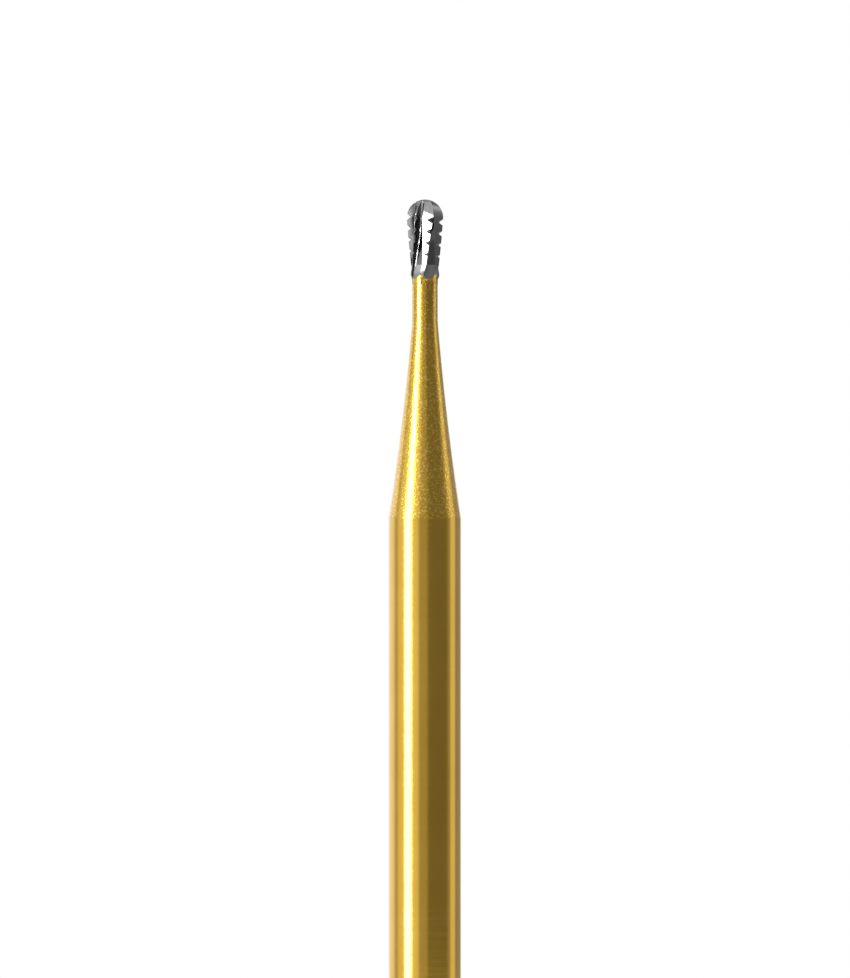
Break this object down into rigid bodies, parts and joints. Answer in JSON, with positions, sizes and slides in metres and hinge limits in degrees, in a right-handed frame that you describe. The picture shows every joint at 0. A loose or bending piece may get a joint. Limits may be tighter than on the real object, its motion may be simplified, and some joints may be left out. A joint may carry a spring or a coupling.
{
  "type": "dental bur",
  "caption": "Dental bur: a straight round shank for a friction grip chuck, a slender flared neck and a small round ended carbide head with spiral crosscut blades.",
  "frame": {"origin": "centre of the flat end of the shank", "axes": "+Z along the axis of rotation, from the shank's end to the tip of the cutting head; the picture looks along +Y"},
  "size_m": [0.0016, 0.0016, 0.019],
  "materials": {
    "gold_plated_steel": "gold plated, polished on the shank and finely blasted on the neck",
    "tungsten_carbide": "ground bare carbide, dark grey with bright lands"
  },
  "bodies": {
    "root": {"shank": "gold_plated_steel", "carbide_head": "tungsten_carbide"}
  },
  "joints": []
}
